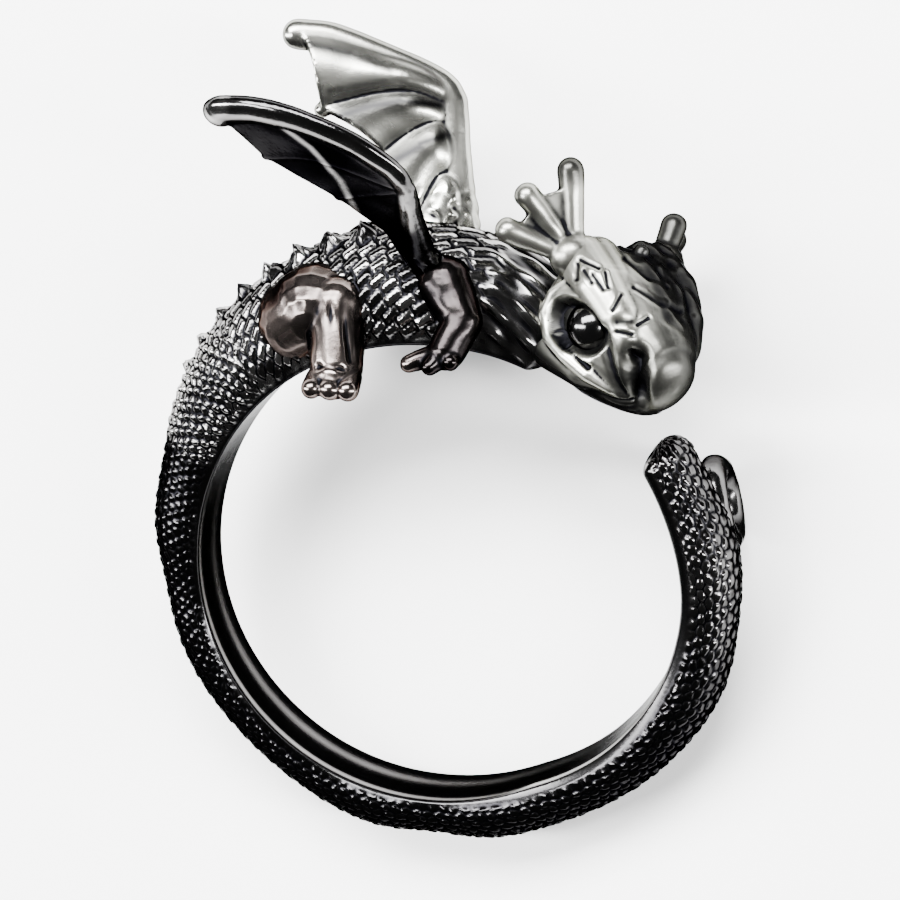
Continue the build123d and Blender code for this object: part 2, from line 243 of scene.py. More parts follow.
def unrolled(points):
    """Points' angles round the ring and round the trunk, and how long both ways are in millimetres."""
    angles = ring_angles(points)
    width, height, lift = trunk_sizes(angles)
    middle = bore_radius + lift + 0.35 * height
    radius = np.hypot(points[:, 0], points[:, 1])
    turn = np.degrees(np.arctan2(points[:, 2] / (0.5 * width), (radius - middle) / (0.62 * height)))
    back_radius = bore_radius + 0.5 * height
    around = np.radians(turn) * 0.5 * (0.5 * width + 0.6 * height)
    return angles, turn, np.radians(angles) * back_radius, around, back_radius


def trunk_relief(points):
    """Height of the cast relief over the trunk's skin, and the metal's tone there, with painted highlights
    and shade.
    """
    angles, turn, along, around, back_radius = unrolled(points)
    root = ease(-angles, tail_root - 2, tail_root + 2)
    torso = ease(-angles, tiles_begin - 6, tiles_begin + 6)
    neck = ease(-angles, neck_begins - 5, neck_begins + 5)
    outside = ease(-np.abs(turn), -120, -106) * ease(turn, -108, -92)
    near, second = cells(along / pebble_size, around / pebble_size)
    pebbles = ease(second - near, 0.02, 0.45) * (0.75 + 0.25 * np.sin(9 * along + 7 * around))
    with_slant, over_slant = tile_slant
    scales, own = tiles(along * with_slant + around * over_slant, around * with_slant - along * over_slant)
    ridges = 0.5 + 0.5 * np.cos(2 * np.pi * (around + 0.25 * np.sin(1.3 * along)) / ridge_pitch)
    ridges *= 0.45 + 0.55 * np.sin(6.3 * along + 4.4 * around) * np.sin(2.9 * along - 3.1 * around)
    rise = pebble_rise * pebbles * (1 - torso) * (1 + 0.7 * root)
    rise += tile_rise * scales * torso * (1 - neck) + ridge_rise * ridges * neck
    for angle, size, lean in SPINES:
        away = np.hypot(along - np.radians(angle) * back_radius, around - lean)
        rise += spine_rise * size * np.clip(1 - away / (spine_radius * size), 0, 1) ** 1.2
    # Painted highlight at the tail's root, single scales brighter on their own, painted shade on the
    # flanks, and blackened on the spines
    spine = ease(rise, 0.20, 0.34)
    flank = ease(np.abs(turn), 28, 56)
    tone = 0.02 + root * ((0.72 + 0.28 * wave(points, 0.8, 2.0)) * (1 - 0.80 * flank)) * (1 - torso)
    tone += torso * (1 - neck) * (0.10 + 0.75 * own ** 2) * (1 - 0.45 * flank)
    tone += neck * (0.06 + 0.50 * ridges) * (1 - 0.35 * flank)
    tone += 0.18 * ease(angles, -34, 6) * (0.5 + 0.5 * wave(points, 0.9, 3.0))
    tone *= 1 - 0.7 * spine * torso
    # The inner wall is polished plain, with two bright lines painted on as painted highlights
    across = points[:, 2] / (0.45 * trunk_sizes(angles)[0])
    painted_highlight_lines = 0.9 * np.exp(-((across - 0.80) / 0.09) ** 2)
    painted_highlight_lines += 0.45 * np.exp(-((across + 0.35) / 0.22) ** 2)
    inside = ease(np.abs(turn), 112, 122)
    tone = tone * (1 - inside) + inside * (0.03 + painted_highlight_lines) * (1 - root)
    ring_turns = np.radians(angles)
    facets = facet_rise * np.sin(ring_turns * facets_round + 1.2 * np.sin(ring_turns * 4))
    return (rise + facets * (1 - torso)) * outside, tone


def shape_normals(mesh):
    """A mesh's vertex normals, worked out anew."""
    mesh.update()
    return coordinates(mesh, "normal")


def add_values(mesh, name, values):
    """Keep one number for each vertex, for the material to read."""
    layer = mesh.attributes.new(name, "FLOAT", "POINT")
    layer.data.foreach_set("value", np.clip(values, 0, 1).astype(np.float32))


def hollows(mesh, rounds=2):
    """How deep each vertex lies among its neighbours: 0.5 is flat, 1 a groove, 0 a sharp edge."""
    ends = np.empty(len(mesh.edges) * 2, dtype=np.int64)
    mesh.edges.foreach_get("vertices", ends)
    a, b = ends.reshape(-1, 2).T
    places, normals = coordinates(mesh), shape_normals(mesh)
    count = np.bincount(a, minlength=len(places)) + np.bincount(b, minlength=len(places))
    step = places[b] - places[a]
    length = np.linalg.norm(step, axis=1) + 1e-9
    rise = np.bincount(a, (step * normals[a]).sum(1) / length, len(places))
    rise -= np.bincount(b, (step * normals[b]).sum(1) / length, len(places))
    depth = rise / count
    for _ in range(rounds):
        total = np.bincount(a, depth[b], len(places)) + np.bincount(b, depth[a], len(places))
        depth = 0.4 * depth + 0.6 * total / count
    return 0.5 + 2.2 * depth


def finish_piece(name, mesh, points, tone, material):
    """Carry a piece to where the ring lies, with its tone and hollows kept for the material."""
    mesh.vertices.foreach_set("co", points.ravel())
    mesh.update()
    add_values(mesh, "tone", tone)
    add_values(mesh, "hollow", hollows(mesh))
    mesh.transform(lying)
    mesh.shade_smooth()
    mesh.materials.append(material)
    piece = bpy.data.objects.new(name, mesh)
    bpy.context.collection.objects.link(piece)
    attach(piece, "root")
    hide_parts("dragon_ring")
    return piece


def node(tree, kind, **settings):
    """A shader node with its settings and plain input values."""
    made = tree.nodes.new(kind)
    for key, value in settings.items():
        if key in made.inputs:
            made.inputs[key].default_value = value
        else:
            setattr(made, key, value)
    return made


# The plating's black, which also serves as painted shade in the hollows and wherever the tone is low
black_plating_and_shade, hollow_roughness, rim_tint = (0.004, 0.004, 0.005), 0.22, (0.05, 0.05, 0.05)


def gunmetal(name, tint, roughness):
    """Polished dark plating: as bright as its tone, which carries painted highlights and shade, fullest on
    sharp edges and darkened towards the hollows as painted shade.
    """
    material = bpy.data.materials.new(name)
    material.use_nodes = True
    tree = material.node_tree
    shader = tree.nodes["Principled BSDF"]
    shader.inputs["Metallic"].default_value = 1.0
    shader.inputs["Specular Tint"].default_value = (*rim_tint, 1)
    place = node(tree, "ShaderNodeTexCoord")
    tone = node(tree, "ShaderNodeAttribute", attribute_name="tone")
    hollow = node(tree, "ShaderNodeAttribute", attribute_name="hollow")
    # Painted shade: the colour is darkened towards the hollows, where the roughness also rises
    outside_hollows = node(tree, "ShaderNodeMapRange",
                **{"From Min": 0.42, "From Max": 0.62, "To Min": 1.0, "To Max": 0.0})
    clouds = node(tree, "ShaderNodeTexNoise", Scale=420.0, Detail=4.0)
    grain = node(tree, "ShaderNodeTexNoise", Scale=5200.0, Detail=3.0)
    bright = node(tree, "ShaderNodeMapRange", **{"To Min": 0.015, "To Max": 0.92})
    mottle = node(tree, "ShaderNodeMapRange", **{"To Min": 0.72, "To Max": 1.18})
    level = node(tree, "ShaderNodeMath", operation="MULTIPLY")
    shade = node(tree, "ShaderNodeMath", operation="MULTIPLY")
    colour = node(tree, "ShaderNodeMix", data_type="RGBA", blend_type="MIX")
    first_colour, second_colour, mixed_colour = colour.inputs[6], colour.inputs[7], colour.outputs[2]
    first_colour.default_value = (*black_plating_and_shade, 1)
    second_colour.default_value = (*tint, 1)
    rough = node(tree, "ShaderNodeMapRange",
                 **{"To Min": roughness + hollow_roughness, "To Max": roughness})
    bump = node(tree, "ShaderNodeBump", Strength=0.12, Distance=0.00004)
    links = tree.links
    links.new(place.outputs["Object"], clouds.inputs["Vector"])
    links.new(place.outputs["Object"], grain.inputs["Vector"])
    links.new(hollow.outputs["Fac"], outside_hollows.inputs["Value"])
    links.new(tone.outputs["Fac"], bright.inputs["Value"])
    links.new(clouds.outputs["Fac"], mottle.inputs["Value"])
    links.new(bright.outputs["Result"], level.inputs[0])
    links.new(mottle.outputs["Result"], level.inputs[1])
    links.new(level.outputs["Value"], shade.inputs[0])
    links.new(outside_hollows.outputs["Result"], shade.inputs[1])
    links.new(shade.outputs["Value"], colour.inputs["Factor"])
    links.new(mixed_colour, shader.inputs["Base Color"])
    links.new(outside_hollows.outputs["Result"], rough.inputs["Value"])
    links.new(rough.outputs["Result"], shader.inputs["Roughness"])
    links.new(grain.outputs["Fac"], bump.inputs["Height"])
    links.new(bump.outputs["Normal"], shader.inputs["Normal"])
    return material


black = gunmetal("black_gunmetal", (0.62, 0.61, 0.60), 0.13)
tail_rows, torso_rows, trunk_columns = 600, 480, 132
trunk_rows = tail_rows + torso_rows
round_end_rows, end_reach, trunk_rounds, seam_gap = 18, 4.2, 4, 0.002
form = bmesh.new()
bmesh.ops.create_grid(form, x_segments=trunk_rows, y_segments=trunk_columns, size=0.5)
trunk_mesh = mesh_of("trunk", form)
spots = coordinates(trunk_mesh)
along_share, around_share = spots[:, 0] + 0.5, spots[:, 1] + 0.5
open_end, neck_end = TRUNK_ROWS[0][0], TRUNK_ROWS[-1][0]
end_share = round_end_rows / trunk_rows
angles = np.interp(along_share, (end_share, tail_rows / trunk_rows, 1), (open_end, -tail_root, neck_end))
section = trunk_skin(np.minimum(angles, open_end), around_share)
# The open end is rounded: its last rows draw in to a point just past the end
closing = np.clip((end_share - along_share) / end_share, 0, 1) * np.pi / 2
end_middle = np.array([bore_radius + 0.45 * tail_lift + 0.47 * band_thickness, 0])
section = end_middle + (section - end_middle) * np.where(closing > 0, np.cos(closing), 1)[:, None]
angles = np.where(closing > 0, open_end + end_reach * np.sin(closing), angles)
# Its neck draws in where it enters the head
neck_middle = np.array([bore_radius + 0.55 * neck_height, 0])
drawn_in = 1 - 0.62 * ease(-angles, 294, 304)
section = neck_middle + (section - neck_middle) * drawn_in[:, None]
turn = np.radians(angles)
places = np.stack([section[:, 0] * np.cos(turn), section[:, 0] * np.sin(turn), section[:, 1]], axis=1)
trunk_mesh.vertices.foreach_set("co", places.ravel())
form = bmesh.new()
form.from_mesh(trunk_mesh)
bmesh.ops.remove_doubles(form, verts=form.verts, dist=seam_gap)
for _ in range(trunk_rounds):
    bmesh.ops.smooth_vert(form, verts=form.verts, factor=0.5,
                          use_axis_x=True, use_axis_y=True, use_axis_z=True)
bpy.data.meshes.remove(trunk_mesh)
trunk_mesh = mesh_of("trunk", form)
places = coordinates(trunk_mesh)
rise, tone = trunk_relief(places)
places = places + shape_normals(trunk_mesh) * rise[:, None]
trunk_mesh.vertices.foreach_set("co", places.ravel())
add_values(trunk_mesh, "drawn_tone", tone)
middles = np.empty(len(trunk_mesh.polygons) * 3)
trunk_mesh.polygons.foreach_get("center", middles)
of_tail = ring_angles(middles.reshape(-1, 3)) > -tail_root
for name, kept in (("tail", of_tail), ("torso", ~of_tail)):
    form = bmesh.new()
    form.from_mesh(trunk_mesh)
    beyond = [face for face, stays in zip(form.faces, kept) if not stays]
    bmesh.ops.delete(form, geom=beyond, context="FACES")
    mesh = mesh_of(name, form)
    drawn = mesh.attributes["drawn_tone"]
    kept_tone = np.empty(len(mesh.vertices), dtype=np.float32)
    drawn.data.foreach_get("value", kept_tone)
    mesh.attributes.remove(drawn)
    finish_piece(name, mesh, coordinates(mesh), kept_tone, black)
bpy.data.meshes.remove(trunk_mesh)


# Legs: a short hind leg with a heavy thigh and a front leg on each flank, cast in one with the
# trunk. The far ones mirror the near ones across the dragon's leaning middle plane. Places are
# forward, up and out from the middle of the trunk, in shares of its height and width.
trunk_centre = bore_radius + 0.6 * torso_height
thigh_radius, shank_radius, foreleg_radius, toe_radius, claw_length = 1.6, 0.95, 0.75, 0.40, 0.8
HIP, KNEE, HOCK = (-1.19, -0.38, 0.34), (-1.00, -0.22, 0.39), (-0.79, -0.12, 0.48)
HIND_SOLE, HIND_PAW = (-0.72, -0.57, 0.77), (-0.72, -0.61, 0.82)
FRONT_SHOULDER, ELBOW, FRONT_WRIST = (0.19, 0.08, 0.37), (0.39, -0.16, 0.59), (0.28, -0.37, 0.75)
FRONT_TOES = ((-0.05, -0.48, 0.80), (0.16, -0.45, 0.88), (0.35, -0.40, 0.86))
torso_frame = Matrix.Translation((0, trunk_centre, 0)) @ Matrix.Rotation(radians(torso_roll), 4, "X")


def on_torso(place):
    """A place in the trunk's own axes from its shares."""
    forward, up, out = place
    return Vector((forward * torso_height, up * torso_height, out * torso_width))


def ball(form, centre, radius, stretch=(1, 1, 1)):
    """A ball, or an egg where it is stretched."""
    size = Matrix.Diagonal((*stretch, 1))
    bmesh.ops.create_uvsphere(form, u_segments=18, v_segments=10, radius=radius,
                              matrix=Matrix.Translation(centre) @ size)


def limb(form, points, radii):
    """Tapered rods from point to point with a ball at every one."""
    for start, end, first, last in zip(points, points[1:], radii, radii[1:]):
        start, end = Vector(start), Vector(end)
        heading = (end - start).to_track_quat("Z", "Y").to_matrix().to_4x4()
        pose = Matrix.Translation((start + end) / 2) @ heading
        bmesh.ops.create_cone(form, cap_ends=True, segments=24, radius1=first, radius2=last,
                              depth=(end - start).length, matrix=pose)
    for point, radius in zip(points, radii):
        ball(form, point, radius)


def fused(name, form, cell, rounds):
    """One smooth skin over overlapping forms."""
    mesh = mesh_of(name, form)
    draft = bpy.data.objects.new(name + "_draft", mesh)
    bpy.context.collection.objects.link(draft)
    wrap = draft.modifiers.new("wrap", "REMESH")
    wrap.mode = "VOXEL"
    wrap.voxel_size = cell
    soften = draft.modifiers.new("soften", "SMOOTH")
    soften.factor = 0.5
    soften.iterations = rounds
    whole = bpy.data.meshes.new_from_object(draft.evaluated_get(bpy.context.evaluated_depsgraph_get()))
    bpy.data.objects.remove(draft)
    bpy.data.meshes.remove(mesh)
    whole.name = name
    return whole


def grooves(points, lines):
    """How strongly lines reach each point: each line is its start, end, width and strength."""
    depth = np.zeros(len(points))
    for start, end, width, cut in lines:
        start, run = np.array(start), np.array(end) - np.array(start)
        share = np.clip((points - start) @ run / (run @ run), 0, 1)
        away = np.linalg.norm(points - start - share[:, None] * run, axis=1)
        depth = np.maximum(depth, cut * np.exp(-(away / width) ** 2))
    return depth


def legs_form(thigh, tuck):
    """Near hind and front legs in the trunk's own axes, the upper parts tucked down under the back."""
    form = bmesh.new()
    hip, knee, hock, sole, paw = [on_torso(place) for place in (HIP, KNEE, HOCK, HIND_SOLE, HIND_PAW)]
    down = Vector((0, tuck, 0))
    limb(form, [hip - down, knee - down], [thigh, 1.04 * thigh])
    limb(form, [hock, sole, paw], [1.1 * shank_radius, shank_radius, 0.95 * shank_radius])
    for side in (-1, 0, 1):
        root = paw + Vector((1.4 * toe_radius * side, -0.1 * toe_radius, 0.2 * toe_radius))
        tip = root + Vector((0.15 * side, -0.15, 1)).normalized() * claw_length
        limb(form, [root, tip], [1.1 * toe_radius, toe_radius])
    wrist = on_torso(FRONT_WRIST)
    limb(form, [on_torso(FRONT_SHOULDER) - down, on_torso(ELBOW), wrist],
         [1.35 * foreleg_radius, foreleg_radius, 0.9 * foreleg_radius])
    for toe in FRONT_TOES:
        limb(form, [wrist, on_torso(toe)], [1.2 * toe_radius, 0.8 * toe_radius])
    return form


def beside_torso(mesh, places, side):
    """Places on a near limb, from the trunk's own axes to the ring's, mirrored for the far side."""
    if side < 0:
        mesh.flip_normals()
    places = places * (1, 1, side)
    return places @ np.array(torso_frame.to_3x3()).T + np.array(torso_frame.translation)


warm = gunmetal("warm_gunmetal", (0.50, 0.42, 0.385), 0.18)
leg_cell, leg_rounds = 0.065, 4
LEG_CREASES = (
    ((-4.2, -0.2, 3.2), (-3.6, -2.2, 3.6), 0.16, 0.22), ((-2.5, 0.2, 3.3), (-2.3, -1.8, 4.2), 0.14, 0.16),
    ((-3.4, -1.9, 4.6), (-2.2, -1.9, 4.7), 0.12, 0.12), ((-3.1, 0.4, 3.3), (-3.0, -1.2, 3.9), 0.10, 0.08))
# The far thighs are slimmer and tucked in, so that they don't show past the near flank
for side, name, thigh, tuck, tone_share in ((1, "near_legs", thigh_radius, 0, 1.0),
                                            (-1, "far_legs", 0.72 * thigh_radius, 0.9, 0.35)):
    mesh = fused(name, legs_form(thigh, tuck), leg_cell, leg_rounds)
    places = coordinates(mesh)
    rise = 0.035 * wave(places, 0.42, 1.0) - grooves(places, LEG_CREASES)
    places = places + shape_normals(mesh) * rise[:, None]
    # Painted shade makes the far legs darker than the near ones; the front legs are darker too
    tone = (0.19 + 0.20 * wave(places, 0.9, 4.0)) * tone_share
    front_leg = ease(places[:, 0], -0.5, 0.3)
    tone *= 1 - 0.88 * front_leg
    finish_piece(name, mesh, beside_torso(mesh, places, side), tone, warm)


# Wings: cast webs on a flattened front bone, with thin ribs spread from the wrist. The near wing
# shows its smooth dark outer face with one rib; the far wing shows its inner face, where the webs
# are hollowed between the ribs, so each has a dark upper half and mirrors the light below. The
# tone also carries painted highlights on the bones and ribs, painted reflections in the far wing's
# valleys, and painted shade above them and at the near arm's root.
wing_span, far_wing_share = 10.6, 0.95
wing_plate, wing_lean, wing_toe_in = 0.46, radians(28), radians(13)
arm_radius, bone_flatness = 0.60, 0.72
outer_rib_radius, outer_rib_stand = 0.12, 0.22
wing_cell, wing_rounds, web_steps = 0.064, 4, 24
WING_ROOT = (0.26, 0.20, 0.40)
# Outlines in a wing's own plane, in shares of its span behind the shoulder and up from it
NEAR_ARM = ((0.050, -0.120), (0.090, 0.080), (0.075, 0.260), (0.045, 0.420))
NEAR_BONE = ((0.045, 0.420), (0.075, 0.515), (0.185, 0.625), (0.355, 0.705), (0.500, 0.728),
             (0.610, 0.712), (0.645, 0.690))
NEAR_RIBS = (((0.045, 0.420), (0.330, 0.520), (0.535, 0.500)),
             ((0.045, 0.420), (0.180, 0.380), (0.318, 0.335)),
             ((0.045, 0.420), (0.090, 0.300), (0.190, 0.190)),
             ((0.060, 0.100), (0.090, 0.000), (0.130, -0.100)))
OUTER_RIB = ((0.425, 0.700), (0.335, 0.590), (0.275, 0.440), (0.262, 0.285))
FAR_ARM = ((0.050, -0.120), (0.065, 0.200), (0.060, 0.455))
FAR_BONE = ((0.060, 0.455), (0.110, 0.525), (0.300, 0.625), (0.480, 0.705), (0.610, 0.730))
FAR_RIBS = (((0.060, 0.455), (0.264, 0.512), (0.495, 0.466), (0.535, 0.450)),
            ((0.075, 0.360), (0.132, 0.386), (0.230, 0.345), (0.323, 0.285)),
            ((0.070, 0.180), (0.130, 0.180), (0.240, -0.040)),
            ((0.060, 0.100), (0.080, 0.000), (0.110, -0.100)))


def spot_on(line, share):
    """A point at a share of the way along a line of points."""
    step = share * (len(line) - 1)
    before = min(int(step), len(line) - 2)
    return line[before].lerp(line[before + 1], step - before)


def curve(points, steps=6):
    """A smooth line through points, with some steps between each two."""
    ends = [2 * points[0] - points[1], *points, 2 * points[-1] - points[-2]]
    line = [points[0]]
    for a, b, c, d in zip(ends, ends[1:], ends[2:], ends[3:]):
        for step in range(1, steps + 1):
            t = step / steps
            line.append((2 * b + (c - a) * t + (2 * a - 5 * b + 4 * c - d) * t ** 2
                         + (3 * b - a - 3 * c + d) * t ** 3) / 2)
    return line


def add_sheet(form, sheet):
    """Add one bmesh to another."""
    draft = bpy.data.meshes.new("web")
    sheet.to_mesh(draft)
    sheet.free()
    form.from_mesh(draft)
    bpy.data.meshes.remove(draft)


def wing_form(span, arm, bone, ribs, bone_radii, rib_radius, web_sag, pull):
    """A near wing in its own plane: x behind the shoulder, y up, z outward. Its webs sag by web_sag
    between the ribs, and their free edges draw in by a share, pull, at the middle."""
    form = bmesh.new()
    arm, bone, *ribs = [curve([Vector((a * span, b * span, 0)) for a, b in line])
                        for line in (arm, bone, *ribs)]
    limb(form, arm, np.linspace(1.3 * arm_radius, bone_radii[0], len(arm)))
    limb(form, bone, np.linspace(*bone_radii, len(bone)))
    bmesh.ops.scale(form, vec=(1, 1, bone_flatness), verts=form.verts)
    for rib in ribs[:-2]:
        limb(form, rib, [rib_radius] * len(rib))
    for first, second in zip([bone, *ribs], ribs):
        sheet = bmesh.new()
        bmesh.ops.create_grid(sheet, x_segments=web_steps, y_segments=web_steps, size=0.5)
        for vertex in sheet.verts:
            reach, share = vertex.co.x + 0.5, vertex.co.y + 0.5
            reach *= 1 - pull * share * (1 - share)
            vertex.co = spot_on(first, reach).lerp(spot_on(second, reach), share)
            vertex.co.z = web_sag * ease(reach, 0.0, 0.45) * sin(share * pi)
        bmesh.ops.recalc_face_normals(sheet, faces=sheet.faces)
        bmesh.ops.solidify(sheet, geom=sheet.faces[:], thickness=wing_plate)
        middle = sum(vertex.co.z for vertex in sheet.verts) / len(sheet.verts) - 0.64 * web_sag
        bmesh.ops.translate(sheet, vec=(0, 0, -middle * 0.8), verts=sheet.verts)
        add_sheet(form, sheet)
    return form


back = Vector((-cos(wing_toe_in), 0, -sin(wing_toe_in)))
outward = Vector((-sin(wing_toe_in), 0, cos(wing_toe_in)))
wing_up = Vector((0, 1, 0)) * cos(wing_lean) + outward * sin(wing_lean)
wing_axes = np.array((back, wing_up, back.cross(wing_up)))


def on_wing(lines, span):
    """Straight strokes in a wing's plane: start, end, width in millimetres and strength."""
    return [((a * span, b * span, 0), (c * span, d * span, 0), width, strength)
            for (a, b), (c, d), width, strength in lines]


silver = gunmetal("silver_gunmetal", (0.76, 0.76, 0.69), 0.20)
# Painted highlights and reflections, and painted shade in the valleys and at the near arm's root: start,
# end, width, strength
NEAR_PAINTED_HIGHLIGHTS = [(a, b, 0.30, 0.36) for a, b in zip(NEAR_BONE, NEAR_BONE[1:])]
NEAR_PAINTED_HIGHLIGHTS += [((0.60, 0.74), (0.66, 0.70), 0.30, 0.6), ((0.045, 0.42), (0.07, 0.26), 0.25, 0.40)]
NEAR_PAINTED_HIGHLIGHTS += [(a, b, 0.11, 0.55) for a, b in zip(OUTER_RIB, OUTER_RIB[1:])]
NEAR_PAINTED_SHADE = [((0.10, -0.10), (0.12, 0.20), 0.9, 0.9)]
FAR_PAINTED_REFLECTIONS = [((0.50, 0.55), (0.32, 0.57), 0.55, 0.50), ((0.345, 0.365), (0.150, 0.410), 0.42, 0.75),
              ((0.170, 0.110), (0.085, 0.220), 0.62, 0.60), ((0.52, 0.453), (0.26, 0.515), 0.14, 0.6),
              ((0.30, 0.30), (0.14, 0.386), 0.12, 0.6)]
FAR_PAINTED_SHADE = [((0.560, 0.680), (0.423, 0.640), 0.27, 0.95), ((0.423, 0.640), (0.282, 0.575), 0.22, 0.9),
            ((0.478, 0.415), (0.360, 0.445), 0.52, 1.0), ((0.360, 0.445), (0.251, 0.460), 0.48, 1.0),
            ((0.251, 0.460), (0.107, 0.440), 0.26, 1.0), ((0.291, 0.240), (0.187, 0.292), 0.48, 1.0),
            ((0.187, 0.302), (0.090, 0.330), 0.28, 1.0), ((0.50, 0.510), (0.30, 0.535), 0.12, 0.6),
            ((0.64, 0.69), (0.60, 0.66), 0.35, 0.5)]
for side, name, span, material in ((1, "near_wing", wing_span, black),
                                   (-1, "far_wing", wing_span * far_wing_share, silver)):
    if side > 0:
        form = wing_form(span, NEAR_ARM, NEAR_BONE, NEAR_RIBS, bone_radii=(0.38, 0.60), rib_radius=0.2,
                         web_sag=0.0, pull=0.0)
        rib = curve([Vector((a * span, b * span, outer_rib_stand)) for a, b in OUTER_RIB])
        limb(form, rib, [outer_rib_radius] * len(rib))
        bright, dark, base, uneven = NEAR_PAINTED_HIGHLIGHTS, NEAR_PAINTED_SHADE, 0.02, 0.04
    else:
        form = wing_form(span, FAR_ARM, FAR_BONE, FAR_RIBS, bone_radii=(0.58, 0.58), rib_radius=0.30,
                         web_sag=0.42, pull=0.24)
        bright, dark, base, uneven = FAR_PAINTED_REFLECTIONS, FAR_PAINTED_SHADE, 0.42, 0.12
    mesh = fused(name, form, wing_cell, wing_rounds)
    places = coordinates(mesh)
    rough_root = 0.07 * wave(places, 0.22, 1.0) * ease(-places[:, 1], -1.9, -0.6)
    places = places + shape_normals(mesh) * (rough_root + 0.015 * wave(places, 0.5, 2.0))[:, None]
    in_plane = places * (1, 1, 0)
    # Painted highlights and reflections brighten the tone, painted shade darkens it
    tone = base + uneven * wave(places, 0.9, 1.0) + grooves(in_plane, on_wing(bright, span))
    tone *= 1 - grooves(in_plane, on_wing(dark, span))
    places = places @ wing_axes + np.array(on_torso(WING_ROOT))
    finish_piece(name, mesh, beside_torso(mesh, places, side), tone, material)


# Head: skull and blunt snout with heavy brows, lids round sunk sockets, cheeks, nostrils and cut
# creases, cast in one with the neck. It turns its snout out to the near side. Its own axes run to
# the snout, the crown and the near side.
head_length, head_width, head_depth = 7.2, 5.5, 5.3
snout_heading, head_turn, head_roll = radians(-29), radians(44), radians(9)
skull_angle = radians(55)
head_cell, head_rounds, head_stations = 0.054, 10, 56
crown_knob, crown_knob_radius = (-0.6, 2.50, -0.2), 0.36
# Place along the head, then depth, width and rise there: all in shares of the head's own
HEAD_SECTIONS = ((-0.375, 0.02, 0.02, 0.03), (-0.36, 0.28, 0.28, 0.03), (-0.33, 0.50, 0.50, 0.03),
                 (-0.24, 0.80, 0.80, 0.02), (-0.08, 1.00, 1.00, 0.00), (0.10, 1.00, 0.98, -0.01),
                 (0.28, 0.82, 0.76, -0.03), (0.42, 0.66, 0.58, -0.04), (0.52, 0.52, 0.46, -0.03),
                 (0.57, 0.28, 0.24, -0.03), (0.585, 0.02, 0.02, -0.03))
BROW = ((-0.16, 0.33, 0.29), (0.03, 0.29, 0.30), (0.21, 0.20, 0.26), (0.35, 0.08, 0.22),
        (0.45, -0.07, 0.17))
BROW_RADII = (0.95, 0.92, 0.80, 0.60, 0.42)
brow_fill = 0.10
LID = ((-0.10, 0.20, 0.42), (-0.145, 0.08, 0.435), (-0.13, -0.07, 0.445), (-0.02, -0.165, 0.455),
       (0.125, -0.185, 0.43), (0.26, -0.205, 0.355), (0.38, -0.225, 0.26))
LID_RADII = (0.13, 0.22, 0.27, 0.27, 0.27, 0.30, 0.14)
CHEEK = ((-0.08, -0.30, 0.34), (0.16, -0.24, 0.30), (0.40, -0.15, 0.14))
CHEEK_RADII = (0.72, 0.72, 0.48)
SOCKET_MIDDLE, SOCKET_SIZE, socket_depth = (0.68, 0.12), (1.50, 0.98), 0.50
heading_across = cos(head_turn)
snout = Vector((cos(snout_heading) * heading_across, sin(snout_heading) * heading_across, sin(head_turn)))
level = Vector((-sin(snout_heading), cos(snout_heading), 0))
crown = level * cos(head_roll) + snout.cross(level) * sin(head_roll)
skull_reach = bore_radius + 0.9 * neck_height
skull_centre = Vector((skull_reach * cos(skull_angle), skull_reach * sin(skull_angle), 0.18 * neck_width))
head_axes = np.array((snout, crown, snout.cross(crown)))


def on_head(place, side=1):
    """A place on the head from its shares, on the near side or mirrored to the far side."""
    along, up, out = place
    return Vector((along * head_length, up * head_depth, side * out * head_width))


def loft(form, rings):
    """A closed skin through ellipses across x: each ring is its middle, half height, half width."""
    loops = []
    for middle, half_height, half_width in rings:
        stretch = Matrix.Diagonal((half_width, half_height, 1, 1))
        pose = Matrix.Translation(middle) @ Matrix.Rotation(radians(90), 4, "Y") @ stretch
        made = bmesh.ops.create_circle(form, cap_ends=False, segments=32, radius=1, matrix=pose)
        edges = {edge for vertex in made["verts"] for edge in vertex.link_edges}
        loops.append(list(edges))
    for first, second in zip(loops, loops[1:]):
        bmesh.ops.bridge_loops(form, edges=first + second)
    for end in (loops[0], loops[-1]):
        bmesh.ops.contextual_create(form, geom=end)


def skull_form():
    """The skull, brows, lids and cheeks in the head's own axes."""
    form = bmesh.new()
    sections = np.array(HEAD_SECTIONS)
    nape, nose_tip = sections[0, 0], sections[-1, 0]
    share = np.linspace(0, 1, head_stations)
    stations = nape + (nose_tip - nape) * (share ** 2 * (3 - 2 * share))
    near_ends = np.minimum(stations - nape, nose_tip - stations)
    spread = stations[:, None] + np.minimum(0.08, near_ends)[:, None] * np.linspace(-1, 1, 9)
    depths, widths, rises = [np.interp(spread, sections[:, 0], sections[:, k]).mean(axis=1)
                             for k in (1, 2, 3)]
    loft(form, [(on_head((along, rise, 0)), 0.5 * depth * head_depth, 0.5 * width * head_width)
                for along, depth, width, rise in zip(stations, depths, widths, rises)])
    ball(form, Vector(crown_knob), crown_knob_radius)
    for side in (1, -1):
        for inward in (0, brow_fill):
            limb(form, [on_head((along, up, out - inward), side) for along, up, out in BROW], BROW_RADII)
        limb(form, [on_head(spot, side) for spot in LID], LID_RADII)
        limb(form, [on_head(spot, side) for spot in CHEEK], CHEEK_RADII)
    return form


def both_sides(lines):
    """Lines on the near side of the head, and the same ones mirrored to its far side."""
    return [((a, b, side * c), (d, e, side * f), width, strength)
            for side in (1, -1) for (a, b, c), (d, e, f), width, strength in lines]


